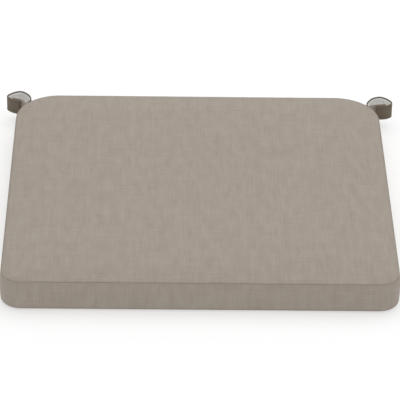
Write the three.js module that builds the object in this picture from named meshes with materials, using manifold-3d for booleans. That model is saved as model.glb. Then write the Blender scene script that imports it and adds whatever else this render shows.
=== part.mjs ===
// A boxed seat pad for an outdoor dining chair: a foam core and batting in a sewn cover, closed by
// a zip across the back, with a hook-and-loop strap at each rear corner. Millimetres, +Z up, the
// front edge towards -Y, and the middle of the underside at the origin.
import * as THREE from "three";
import * as BufferGeometryUtils from "three/addons/utils/BufferGeometryUtils.js";
import Module from "manifold-3d";

const wasm = await Module();
wasm.setup();

// ---------------------------------------------------------------- driving dimensions

const gap = 0.3; // between pieces that touch

const padWidthFront = 508;
const padWidthRear = 498;
const padDepth = 470;
const frontCornerRadius = 26;
const rearCornerRadius = 60;
const boxingHeight = 38; // seam to seam
const crownTop = 7; // rise of the top panel above its seam
const crownBottom = 3; // drop of the bottom panel below its seam
const crownReach = 22; // how far in from the seam the crown runs
const coverThickness = 1;

const foamHeight = 32;
const foamInset = 3.4; // foam side to the outside of the cover
const foamEdgeRadius = 4;
const battingInset = 3.4; // side of the batting to the outside of the cover

const seamAllowance = 6;
const seamPlies = 1.6;
const cornerSeamDepth = 9; // how far the corner seam and the strap ends run into the cover

const zipLength = 356; // between the stops
const zipWindow = 6; // height of the slot that shows the coils
const zipTapeWidth = 10;
const zipTapeThickness = 0.7;
const zipTapeOverrun = 9; // tape beyond each stop
const coilHeight = 2.2; // one coil, across the closing line
const coilDepth = 1.4;
const stopLength = 3;
const sliderLength = 11;
const sliderWidth = 8.5;
const sliderDepth = 1.6;
const sliderMargin = 1; // slider to stop, at each end of its travel
const bridgeLength = 7;
const bridgeWidth = 2;
const bridgeHeight = 3.4;
const bridgeWall = 0.9;
const pullLength = 24;
const pullWidth = 6;
const pullThickness = 1.2;
const pullEyeWall = 1.5;

const strapWidth = 22;
const strapTopDrop = 4.5; // top seam down to the strap's upper edge
const strapThickness = 1.4;
const tapeThickness = 1;
const tapeMargin = 1.5; // strap edge to the edge of the hook or loop tape
const liningStart = 3.6; // loop tape left short of the sewn end, along the strap
const closureClearance = 0.5; // between the closed hook and loop faces
const loopReach = 41; // how far a closed loop stands out from the corner
const loopBulgeRear = 13.5;
const loopBulgeFront = 13.5;
const loopLean = { left: -9, right: -9 }; // degrees from the line that halves the corner
const firstBend = 42; // along the strap, from its sewn end to where it first folds
const secondBend = 64; // and to where it folds back
const bendGap = 0.6;
const closureLength = 14; // how far the strap's end and the tab overlap

const cornerSegments = 8;
const crownSegments = 3;
const ribbonStep = 1.4; // along a strap, between the corners of its facets

// ---------------------------------------------------------------- derived places

const bottomSeamZ = crownBottom;
const topSeamZ = bottomSeamZ + boxingHeight;
const padTopZ = topSeamZ + crownTop;
const zipZ = (bottomSeamZ + topSeamZ) / 2;
const rearY = padDepth / 2;
const strapZ = topSeamZ - strapTopDrop - strapWidth / 2;
const foamBottomZ = bottomSeamZ + (boxingHeight - foamHeight) / 2;
const foamTopZ = foamBottomZ + foamHeight;
const tapeHalf = zipLength / 2 + zipTapeOverrun;
const windowHalf = zipLength / 2 + stopLength + gap;
const halfTurn = Math.PI / 2;

// ---------------------------------------------------------------- materials

const finishes = {
  cover: { color: 0xa69c92, roughness: 0.95, metalness: 0 },
  strap: { color: 0x6e6355, roughness: 0.95, metalness: 0 },
  loopTape: { color: 0xdcdad6, roughness: 1, metalness: 0 },
  hookTape: { color: 0xcfccc6, roughness: 0.8, metalness: 0 },
  foam: { color: 0xe9e2cc, roughness: 1, metalness: 0 },
  batting: { color: 0xf2f1ee, roughness: 1, metalness: 0 },
  zipTape: { color: 0x7f756a, roughness: 0.9, metalness: 0 },
  zipCoil: { color: 0x756b60, roughness: 0.5, metalness: 0 },
  zipMetal: { color: 0x8d8880, roughness: 0.4, metalness: 0.9 },
};

// ---------------------------------------------------------------- solids

/** A manifold solid of a closed three.js geometry. */
function solid(geometry) {
  const bare = geometry.clone();
  bare.deleteAttribute("normal");
  bare.deleteAttribute("uv");
  const merged = BufferGeometryUtils.mergeVertices(bare, 1e-3);
  return new wasm.Manifold(
    new wasm.Mesh({
      numProp: 3,
      vertProperties: new Float32Array(merged.attributes.position.array),
      triVerts: new Uint32Array(merged.index.array),
    }),
  );
}

/** The three.js geometry of a manifold solid. */
function geometryOf(manifold) {
  const mesh = manifold.getMesh();
  const geometry = new THREE.BufferGeometry();
  geometry.setAttribute("position", new THREE.BufferAttribute(mesh.vertProperties, 3));
  geometry.setIndex(new THREE.BufferAttribute(mesh.triVerts, 1));
  geometry.computeVertexNormals();
  return geometry;
}

/** A box given by its lower and upper corners. */
function block(low, high) {
  const size = new THREE.Vector3(...high).sub(new THREE.Vector3(...low));
  const middle = new THREE.Vector3(...high).add(new THREE.Vector3(...low)).multiplyScalar(0.5);
  return new THREE.BoxGeometry(size.x, size.y, size.z).translate(middle.x, middle.y, middle.z);
}

const far = padWidthFront + padDepth; // beyond the pad on every side

/** The part of a solid between two heights. */
function between(shape, low, high) {
  return shape.intersect(solid(block([-far, -far, low], [far, far, high])));
}

// ---------------------------------------------------------------- the pad's plan

/** Arc centres, radii and directions of the four corners, counterclockwise from the front right. */
const corners = (() => {
  const plan = [
    { x: padWidthFront / 2, y: -padDepth / 2, radius: frontCornerRadius },
    { x: padWidthRear / 2, y: padDepth / 2, radius: rearCornerRadius },
    { x: -padWidthRear / 2, y: padDepth / 2, radius: rearCornerRadius },
    { x: -padWidthFront / 2, y: -padDepth / 2, radius: frontCornerRadius },
  ];
  return plan.map((corner, i) => {
    const here = new THREE.Vector2(corner.x, corner.y);
    const before = plan[(i + 3) % 4];
    const after = plan[(i + 1) % 4];
    const arriving = here.clone().sub(new THREE.Vector2(before.x, before.y)).normalize();
    const leaving = new THREE.Vector2(after.x, after.y).sub(here).normalize();
    const turn = Math.acos(arriving.dot(leaving));
    const start = arriving.clone().multiplyScalar(-corner.radius * Math.tan(turn / 2)).add(here);
    const inward = new THREE.Vector2(-arriving.y, arriving.x);
    const centre = start.add(inward.multiplyScalar(corner.radius));
    const from = arriving.angle() - halfTurn;
    return { centre, radius: corner.radius, from, turn };
  });
})();

/** The pad's outline, drawn in from the cover's outside by the inset. */
function outline(inset) {
  const shape = new THREE.Shape();
  for (const { centre, radius, from, turn } of corners) {
    shape.absarc(centre.x, centre.y, radius - inset, from, from + turn, false);
  }
  return shape;
}

/** A straight-sided slab on the pad's outline with domed faces, its middle plane at the height z. */
function domedSlab(inset, z, halfHeight, crown, reach) {
  const geometry = new THREE.ExtrudeGeometry(outline(inset), {
    depth: 2 * halfHeight,
    curveSegments: cornerSegments,
    bevelEnabled: true,
    bevelThickness: crown,
    bevelSize: reach,
    bevelOffset: -reach,
    bevelSegments: crownSegments,
  });
  return solid(geometry.translate(0, 0, z - halfHeight));
}

/** A straight-sided slab on the pad's outline, between two heights. */
function straightSlab(inset, low, high) {
  const geometry = new THREE.ExtrudeGeometry(outline(inset), {
    depth: high - low,
    curveSegments: cornerSegments,
    bevelEnabled: false,
  });
  return solid(geometry.translate(0, 0, low));
}

/** A straight-walled band inside the pad's outline, between two heights. */
function wallBand(inset, thickness, low, high) {
  const hole = straightSlab(inset + thickness, low - 1, high + 1);
  return straightSlab(inset, low, high).subtract(hole);
}

/** The whole pad, drawn in from the outside by a side inset and, above and below, by a drop. */
function padSolid(inset, drop) {
  const halfHeight = boxingHeight / 2;
  const reach = crownReach - inset;
  const upper = domedSlab(inset, zipZ, halfHeight - drop, crownTop, reach);
  const lower = domedSlab(inset, zipZ, halfHeight - drop, crownBottom, reach);
  return between(upper, zipZ, padTopZ + gap).add(between(lower, -gap, zipZ));
}

// ---------------------------------------------------------------- rear corners

/** A rear corner: where its vertical seam meets the boxing's outside, and the way it faces. */
function rearCorner(side) {
  const { centre, radius, from, turn } = side === "right" ? corners[1] : corners[2];
  const facing = from + turn / 2;
  const out = new THREE.Vector2(Math.cos(facing), Math.sin(facing));
  return { point: centre.clone().add(out.multiplyScalar(radius)), facing };
}

/** A geometry drawn at the origin along +X, moved to a rear corner and turned to face out of it. */
function atCorner(side, geometry) {
  const { point, facing } = rearCorner(side);
  return geometry.rotateZ(facing).translate(point.x, point.y, 0);
}

/** Upright slots through both rear corners, reaching inward by a depth. */
function cornerSlots(halfWidth, depth) {
  const cut = (side) => solid(atCorner(side, block([-depth, -halfWidth, -far], [far, halfWidth, far])));
  return cut("left").add(cut("right"));
}

/** The space behind both corner seams, bounded by the upright planes that they lie in. */
function behindCorners() {
  const [right, left] = ["right", "left"].map(rearCorner);
  const along = ({ point, facing }, away) =>
    new THREE.Vector2(Math.cos(facing), Math.sin(facing)).multiplyScalar(away).add(point);
  const inner = -rearCornerRadius;
  const rim = [along(right, inner), along(right, far), along(left, far), along(left, inner)];
  const prism = new THREE.ExtrudeGeometry(new THREE.Shape(rim), {
    depth: far,
    bevelEnabled: false,
  });
  return solid(prism.translate(0, 0, -far / 2));
}

const seamOpening = strapThickness + 1.5 * gap; // half the slot that both strap ends fill
const plyOffset = seamOpening + gap; // from the seam's middle to the folded boxing edges
const seamSlots = cornerSlots(seamOpening, cornerSeamDepth);
const seamPockets = cornerSlots(plyOffset + seamPlies / 2 + gap, cornerSeamDepth + gap);

// ---------------------------------------------------------------- the scene

const seatPad = new THREE.Group();

/** Adds a named piece in a finish. */
function piece(name, geometry, finish, parent = seatPad) {
  const mesh = new THREE.Mesh(geometry, new THREE.MeshStandardMaterial(finish));
  mesh.name = name;
  parent.add(mesh);
  return mesh;
}

// ---------------------------------------------------------------- filling

const foamShape = new THREE.ExtrudeGeometry(outline(foamInset), {
  depth: foamHeight - 2 * foamEdgeRadius,
  curveSegments: cornerSegments,
  bevelThickness: foamEdgeRadius,
  bevelSize: foamEdgeRadius,
  bevelOffset: -foamEdgeRadius,
  bevelSegments: 3,
});
foamShape.translate(0, 0, foamBottomZ + foamEdgeRadius);
piece("foam_core", geometryOf(solid(foamShape).subtract(seamPockets)), finishes.foam);

const filling = padSolid(battingInset, coverThickness + gap).subtract(seamPockets);
const battingTop = between(filling, foamTopZ + gap, padTopZ);
const battingBottom = between(filling, 0, foamBottomZ - gap);
piece("batting_top", geometryOf(battingTop), finishes.batting);
piece("batting_bottom", geometryOf(battingBottom), finishes.batting);

// ---------------------------------------------------------------- cover

const coverSkin = padSolid(0, 0).subtract(padSolid(coverThickness, coverThickness));
const topPanel = between(coverSkin, topSeamZ + gap / 2, padTopZ + 1);
const bottomPanel = between(coverSkin, -1, bottomSeamZ - gap / 2);
piece("cover_top_panel", geometryOf(topPanel), finishes.cover);
piece("cover_bottom_panel", geometryOf(bottomPanel), finishes.cover);

const ring = wallBand(0, coverThickness, bottomSeamZ + gap / 2, topSeamZ - gap / 2);
const behind = behindCorners();
const frontBoxing = ring.subtract(behind).subtract(seamSlots);
const rearBoxing = ring.intersect(behind).subtract(seamSlots);
piece("boxing_front_sides", geometryOf(frontBoxing), finishes.cover);

for (const [side, sign] of [["left", -1], ["right", 1]]) {
  const near = sign * (windowHalf + gap / 2);
  const away = sign * far;
  const end = block([Math.min(near, away), 0, -far], [Math.max(near, away), far, far]);
  piece(`boxing_end_${side}`, geometryOf(rearBoxing.intersect(solid(end))), finishes.cover);
}

const middle = solid(block([-windowHalf + gap / 2, 0, -far], [windowHalf - gap / 2, far, far]));
const zipPanel = rearBoxing.intersect(middle);
const upperFlap = between(zipPanel, zipZ + zipWindow / 2, far);
const lowerFlap = between(zipPanel, -far, zipZ - zipWindow / 2);
piece("boxing_rear_upper", geometryOf(upperFlap), finishes.cover);
piece("boxing_rear_lower", geometryOf(lowerFlap), finishes.cover);

// ---------------------------------------------------------------- inner seams

/** A band of folded seam edges just inside the boxing, split where the boxing strips meet. */
function seamBand(name, low, high) {
  const band = wallBand(coverThickness + gap, seamPlies, low, high).subtract(seamPockets);
  piece(`${name}_front`, geometryOf(band.subtract(behind)), finishes.cover);
  piece(`${name}_rear`, geometryOf(band.intersect(behind)), finishes.cover);
}

seamBand("seam_allowance_top", topSeamZ - gap - seamAllowance, topSeamZ - gap);
seamBand("seam_allowance_bottom", bottomSeamZ + gap, bottomSeamZ + gap + seamAllowance);

// ---------------------------------------------------------------- corner seams and strap ends

const stubOut = 2.4; // strap ends standing out of the seam before they bend
const plyInset = coverThickness + gap;

for (const side of ["left", "right"]) {
  const rearward = side === "right" ? 1 : -1;
  for (const [edge, sign] of [["front", -rearward], ["rear", rearward]]) {
    const ply = block(
      [-cornerSeamDepth, Math.min(sign * plyOffset, sign * (plyOffset + seamPlies / 2)), bottomSeamZ + gap],
      [-plyInset, Math.max(sign * plyOffset, sign * (plyOffset + seamPlies / 2)), topSeamZ - gap],
    );
    piece(`corner_seam_${edge}_${side}`, atCorner(side, ply), finishes.cover);
    const end = block(
      [-cornerSeamDepth, Math.min((sign * gap) / 2, sign * (gap / 2 + strapThickness)), strapZ - strapWidth / 2],
      [stubOut, Math.max((sign * gap) / 2, sign * (gap / 2 + strapThickness)), strapZ + strapWidth / 2],
    );
    piece(`strap_end_${edge}_${side}`, atCorner(side, end), finishes.strap);
  }
}

// ---------------------------------------------------------------- straps

/** A smooth path in plan through the given points, with no overshoot where they lie close. */
function smoothPath(points) {
  const level = points.map(({ x, y }) => new THREE.Vector3(x, y, 0));
  const path = new THREE.CatmullRomCurve3(level, false, "centripetal");
  path.arcLengthDivisions = 400;
  return path;
}

/** A point beside a path: a length along it, and a distance to the loop's inside. */
function beside(path, along, inside, rearward) {
  const share = along / path.getLength();
  const tangent = path.getTangentAt(share);
  const inward = new THREE.Vector2(tangent.y, -tangent.x).multiplyScalar(rearward * inside);
  const { x, y } = path.getPointAt(share);
  return inward.add(new THREE.Vector2(x, y));
}

/** An upright ribbon along part of a path, set to the inside of it by an offset. */
function ribbon(path, rearward, { from, to, inside, thickness, width }) {
  const stations = [from];
  for (let along = ribbonStep; along < path.getLength(); along += ribbonStep) {
    if (along > from + ribbonStep / 4 && along < to - ribbonStep / 4) stations.push(along);
  }
  stations.push(to);
  const row = (edge) => stations.map((along) => beside(path, along, inside + edge, rearward));
  const rim = [...row(-thickness / 2), ...row(thickness / 2).reverse()];
  const geometry = new THREE.ExtrudeGeometry(new THREE.Shape(rim), {
    depth: width,
    bevelEnabled: false,
  });
  return geometry.translate(0, 0, strapZ - width / 2);
}

/** The first two points of a strap or tab, straight on from its sewn end. */
function straightStart(sideways) {
  const start = stubOut + bendGap;
  const beyond = start + 2 * strapThickness;
  return [new THREE.Vector2(start, sideways), new THREE.Vector2(beyond, sideways)];
}

const plyMiddle = gap / 2 + strapThickness / 2; // each strap end, from the seam's middle

/** The path of the long strap, from its sewn end round to its free end over the tab. */
function strapPath(rearward, lean) {
  const plan = [
    [0.27 * loopReach, 0.62 * loopBulgeRear],
    [0.6 * loopReach, loopBulgeRear],
    [0.91 * loopReach, 0.7 * loopBulgeRear],
    [loopReach, -0.1 * loopBulgeFront],
    [0.93 * loopReach, -0.93 * loopBulgeFront],
    [0.74 * loopReach, -loopBulgeFront],
    [0.4 * loopReach, -0.5 * loopBulgeFront],
  ];
  const middle = new THREE.Vector2();
  const leant = plan.map(([x, y]) => new THREE.Vector2(x, rearward * y).rotateAround(middle, lean));
  return smoothPath([...straightStart(rearward * plyMiddle), ...leant]);
}

/** The first length along a path at which a point beside it stands clear of another path. */
function firstClear(path, rearward, { from, inside, other, clearance }) {
  const others = other.getSpacedPoints(200);
  let along = from;
  while (along < path.getLength()) {
    const { x, y } = beside(path, along, inside, rearward);
    if (others.every((point) => Math.hypot(point.x - x, point.y - y) >= clearance)) break;
    along += ribbonStep / 4;
  }
  return along;
}

const tapeWidth = strapWidth - 2 * tapeMargin;
const tapeInside = strapThickness / 2 + gap + tapeThickness / 2;
const tabInside = strapThickness + 2 * (tapeThickness + gap) + closureClearance;

for (const side of ["left", "right"]) {
  const rearward = side === "right" ? 1 : -1;
  const lean = THREE.MathUtils.degToRad(loopLean[side]);
  const path = strapPath(rearward, lean);
  const length = path.getLength();
  const tabPath = smoothPath([
    ...straightStart(-rearward * plyMiddle),
    beside(path, length, tabInside, rearward),
    beside(path, length - closureLength / 2, tabInside, rearward),
    beside(path, length - closureLength, tabInside, rearward),
  ]);
  const place = (name, geometry, finish) => piece(name, atCorner(side, geometry), finish);
  const clearStart = firstClear(path, rearward, {
    from: liningStart,
    inside: tapeInside + tapeThickness / 2,
    other: tabPath,
    clearance: strapThickness / 2 + gap / 2,
  });
  const spans = { wall: [0, firstBend], turn: [firstBend, secondBend], grip: [secondBend, length] };
  for (const [name, [start, end]] of Object.entries(spans)) {
    const from = start === 0 ? 0 : start + bendGap / 2;
    const to = end === length ? length : end - bendGap / 2;
    const fabric = { from, to, inside: 0, thickness: strapThickness, width: strapWidth };
    place(`strap_${name}_${side}`, ribbon(path, rearward, fabric), finishes.strap);
    const lining = {
      from: start === 0 ? clearStart : from,
      to: end === length ? length - tapeMargin : to,
      inside: tapeInside,
      thickness: tapeThickness,
      width: tapeWidth,
    };
    place(`loop_tape_${name}_${side}`, ribbon(path, rearward, lining), finishes.loopTape);
  }

  const tabEnd = tabPath.getLength();
  const tab = { from: 0, to: tabEnd, inside: 0, thickness: strapThickness, width: strapWidth };
  place(`tab_${side}`, ribbon(tabPath, rearward, tab), finishes.strap);
  const hooks = {
    from: tabEnd - closureLength,
    to: tabEnd - tapeMargin,
    inside: -tapeInside,
    thickness: tapeThickness,
    width: tapeWidth,
  };
  place(`hook_tape_${side}`, ribbon(tabPath, rearward, hooks), finishes.hookTape);
}

// ---------------------------------------------------------------- zip

/** A strip of the rear wall's outline between two heights and two distances from the middle. */
function rearStrip({ inset, thickness, heights, span }) {
  const low = Math.min(...heights);
  const high = Math.max(...heights);
  const range = block([Math.min(...span), 0, low - 1], [Math.max(...span), far, high + 1]);
  return geometryOf(wallBand(inset, thickness, low, high).intersect(solid(range)));
}

const coilInset = coverThickness - coilDepth; // the coils stand out a little from the boxing

for (const [name, sign] of [["upper", 1], ["lower", -1]]) {
  const inner = zipZ + (sign * gap) / 2;
  const tape = rearStrip({
    inset: coverThickness + gap,
    thickness: zipTapeThickness,
    heights: [inner, inner + sign * zipTapeWidth],
    span: [-tapeHalf, tapeHalf],
  });
  piece(`zip_tape_${name}`, tape, finishes.zipTape);
  const coil = rearStrip({
    inset: coilInset,
    thickness: coilDepth,
    heights: [inner, inner + sign * coilHeight],
    span: [-zipLength / 2 + gap, zipLength / 2 - gap],
  });
  piece(`zip_coil_${name}`, coil, finishes.zipCoil);
}

for (const [side, sign] of [["left", -1], ["right", 1]]) {
  const near = (sign * zipLength) / 2;
  const stop = rearStrip({
    inset: coilInset,
    thickness: coilDepth,
    heights: [zipZ - coilHeight, zipZ + coilHeight],
    span: [near, near + sign * (stopLength - gap)],
  });
  piece(`zip_stop_${side}`, stop, finishes.zipMetal);
}

/** Where a distance right of the middle meets the pad's rear outline, and how that is turned. */
function onRear(x) {
  const { centre, radius } = corners[1];
  if (x <= centre.x) return { y: rearY, turn: 0 };
  const angle = Math.acos((x - centre.x) / radius);
  return { y: centre.y + radius * Math.sin(angle), turn: angle - halfTurn };
}

// The slider rides outside the coils, at the right-hand end of its travel. Its bridge holds the
// pull, whose eye wraps it with running clearance.
const slider = new THREE.Group();
const sliderX = zipLength / 2 - sliderLength / 2 - sliderMargin;
const sliderSeat = onRear(sliderX);
slider.position.set(sliderX, sliderSeat.y - coilInset + gap, zipZ);
slider.rotation.z = sliderSeat.turn;
seatPad.add(slider);

const plate = solid(block(
  [-sliderLength / 2, 0, -sliderWidth / 2],
  [sliderLength / 2, sliderDepth, sliderWidth / 2],
));
const bridge = solid(block(
  [-bridgeLength / 2, sliderDepth / 2, -bridgeWidth / 2],
  [bridgeLength / 2, sliderDepth + bridgeHeight, bridgeWidth / 2],
));
const bridgeHole = solid(block(
  [-bridgeLength / 2 + bridgeWall, sliderDepth, -bridgeWidth],
  [bridgeLength / 2 - bridgeWall, sliderDepth + bridgeHeight - bridgeWall, bridgeWidth],
));
const sliderBody = plate.add(bridge.subtract(bridgeHole));
piece("zip_slider", geometryOf(sliderBody), finishes.zipMetal, slider);

// The pull turns on the line through the middle of the bridge's hole, and lies towards -X.
const pull = new THREE.Group();
pull.position.set(0, sliderDepth + (bridgeHeight - bridgeWall) / 2, 0);
slider.add(pull);

const eyeHeight = bridgeWidth + 2 * (gap + pullEyeWall);
const pullPlan = new THREE.Shape();
pullPlan.moveTo(pullThickness / 2, -eyeHeight / 2);
pullPlan.lineTo(pullThickness / 2, eyeHeight / 2);
pullPlan.lineTo(-bridgeLength, pullWidth / 2);
pullPlan.lineTo(-pullLength + pullWidth / 2, pullWidth / 2);
pullPlan.absarc(-pullLength + pullWidth / 2, 0, pullWidth / 2, halfTurn, 3 * halfTurn, false);
pullPlan.lineTo(-bridgeLength, -pullWidth / 2);
const bridgeSweep = Math.hypot(bridgeLength / 2, (bridgeHeight + bridgeWall) / 2) + gap;
const eye = new THREE.Path();
eye.moveTo(-pullThickness / 2, -bridgeWidth / 2 - gap);
eye.lineTo(-bridgeSweep, -bridgeWidth / 2 - gap);
eye.lineTo(-bridgeSweep, bridgeWidth / 2 + gap);
eye.lineTo(-pullThickness / 2, bridgeWidth / 2 + gap);
pullPlan.holes.push(eye);
const pullShape = new THREE.ExtrudeGeometry(pullPlan, {
  depth: pullThickness,
  curveSegments: 8,
  bevelEnabled: false,
});
pullShape.rotateX(halfTurn);
pullShape.translate(0, pullThickness / 2, 0);
piece("zip_pull", pullShape, finishes.zipMetal, pull);

export default seatPad;
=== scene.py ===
"""A boxed seat pad for an outdoor chair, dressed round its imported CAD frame: a sewn cover filled out
by cloth simulation, foam and wadding inside it, a coil zip across the back and a hook-and-loop
strap at each rear corner. Metres, +Z up, the front edge towards -Y."""

import bisect
import logging
import math
from dataclasses import dataclass, field
from enum import Enum
from typing import Callable, Iterable, Sequence

import bmesh
import bpy
from mathutils import Matrix, Vector, noise


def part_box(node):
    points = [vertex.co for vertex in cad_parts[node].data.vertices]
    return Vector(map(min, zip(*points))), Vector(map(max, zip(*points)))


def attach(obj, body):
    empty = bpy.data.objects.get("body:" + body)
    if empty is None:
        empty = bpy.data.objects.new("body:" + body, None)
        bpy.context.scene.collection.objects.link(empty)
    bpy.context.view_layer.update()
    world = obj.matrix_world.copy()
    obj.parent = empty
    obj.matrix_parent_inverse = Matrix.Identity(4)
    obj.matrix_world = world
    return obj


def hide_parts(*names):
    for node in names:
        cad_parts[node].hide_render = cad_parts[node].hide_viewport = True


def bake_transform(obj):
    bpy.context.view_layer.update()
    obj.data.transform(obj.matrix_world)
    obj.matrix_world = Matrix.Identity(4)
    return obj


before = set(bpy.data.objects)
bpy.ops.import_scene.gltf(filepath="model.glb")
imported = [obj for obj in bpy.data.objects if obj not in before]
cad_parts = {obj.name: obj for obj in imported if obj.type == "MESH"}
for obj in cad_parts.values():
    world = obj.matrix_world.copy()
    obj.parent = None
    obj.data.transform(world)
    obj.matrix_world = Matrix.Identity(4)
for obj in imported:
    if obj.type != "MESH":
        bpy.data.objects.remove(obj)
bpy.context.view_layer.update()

log = logging.getLogger("seat_pad")
MM = 0.001
STITCH = (1.2 * MM, 0.26 * MM, 0.24 * MM)  # half a stitch's length, width and height
STITCH_STEP = 3.0 * MM

Mesh = bmesh.types.BMesh
Material = bpy.types.Material
Piece = bpy.types.Object
Socket = bpy.types.NodeSocket
Colour = tuple[float, float, float]
Span = tuple[float, float]
Axes = tuple[Vector, Vector, Vector]
Height = Callable[[float, Vector], float]


class Side(Enum):
    """A rear corner of the pad; the value is the sign of its X."""

    LEFT = -1
    RIGHT = 1

    @property
    def word(self) -> str:
        """The side's name as it stands in node and body names."""
        return self.name.lower()


# ---------------------------------------------------------------- node graphs


class Graph:
    """A material's node tree, with short calls that add and join its nodes."""

    def __init__(self, name: str) -> None:
        """Makes a new material with only a Principled shader.

        Args:
            name: The material's name.
        """
        self.material = bpy.data.materials.new(name)
        self.material.use_nodes = True
        self.tree = self.material.node_tree
        self.shader = self.tree.nodes["Principled BSDF"]

    def add(self, kind: str, **settings: object) -> bpy.types.Node:
        """Adds a node and sets its properties.

        Args:
            kind: The node's type name, without its ShaderNode prefix.
            settings: Properties of the node.

        Returns:
            The new node.
        """
        node = self.tree.nodes.new("ShaderNode" + kind)
        for key, value in settings.items():
            setattr(node, key, value)
        return node

    def join(self, source: object, target: Socket) -> None:
        """Feeds a socket from another socket, or gives it a number."""
        if isinstance(source, Socket):
            self.tree.links.new(source, target)
        else:
            target.default_value = source

    def math(self, operation: str, *values: object) -> Socket:
        """The result of a Math node.

        Args:
            operation: The node's operation.
            values: Sockets or numbers for its inputs.

        Returns:
            Its output socket.
        """
        node = self.add("Math", operation=operation)
        for value, socket in zip(values, node.inputs):
            self.join(value, socket)
        return node.outputs[0]

    def noise(self, vector: Socket, scale: float, detail: float = 2.0) -> Socket:
        """A noise value between about 0.3 and 0.7.

        Args:
            vector: Where the noise is read.
            scale: Its scale.
            detail: Its octaves.

        Returns:
            The noise socket.
        """
        node = self.add("TexNoise")
        self.join(vector, node.inputs["Vector"])
        node.inputs["Scale"].default_value = scale
        node.inputs["Detail"].default_value = detail
        return node.outputs["Fac"]

    def stretched(self, vector: Socket, scale: Sequence[float]) -> Socket:
        """A vector scaled along each axis."""
        node = self.add("Mapping", vector_type="POINT")
        self.join(vector, node.inputs["Vector"])
        node.inputs["Scale"].default_value = scale
        return node.outputs["Vector"]

    def ramp(self, value: Socket, stops: Sequence[tuple[float, Sequence[float]]]) -> Socket:
        """A colour ramp.

        Args:
            value: What drives it.
            stops: Each stop's place and colour.

        Returns:
            The colour socket.
        """
        node = self.add("ValToRGB")
        band = node.color_ramp.elements
        while len(band) < len(stops):
            band.new(0.5)
        for stop, (place, colour) in zip(band, stops):
            stop.position = place
            stop.color = (*colour, 1.0)
        self.join(value, node.inputs["Fac"])
        return node.outputs["Color"]

    def blend(self, amount: object, first: object, second: object, mode: str = "MIX") -> Socket:
        """Two colours mixed.

        Args:
            amount: How much of the second, a socket or a number.
            first: The first colour, a socket or RGBA.
            second: The second colour, a socket or RGBA.
            mode: The mix's blend type.

        Returns:
            The mixed colour's socket.
        """
        node = self.add("Mix", data_type="RGBA", blend_type=mode)
        self.join(amount, node.inputs[0])
        self.join(first, node.inputs[6])
        self.join(second, node.inputs[7])
        return node.outputs[2]

    def bump(self, height: Socket, distance: float, strength: float = 1.0) -> None:
        """Feeds the shader's normal from a height.

        Args:
            height: The height socket.
            distance: The height of 1, in metres.
            strength: The bump's strength.
        """
        node = self.add("Bump")
        node.inputs["Strength"].default_value = strength
        node.inputs["Distance"].default_value = distance
        self.join(height, node.inputs["Height"])
        self.join(node.outputs["Normal"], self.shader.inputs["Normal"])

    def set(self, **values: object) -> None:
        """Sets the shader's own sockets, each named with underscores for spaces."""
        for name, value in values.items():
            self.shader.inputs[name.replace("_", " ")].default_value = value


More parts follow.
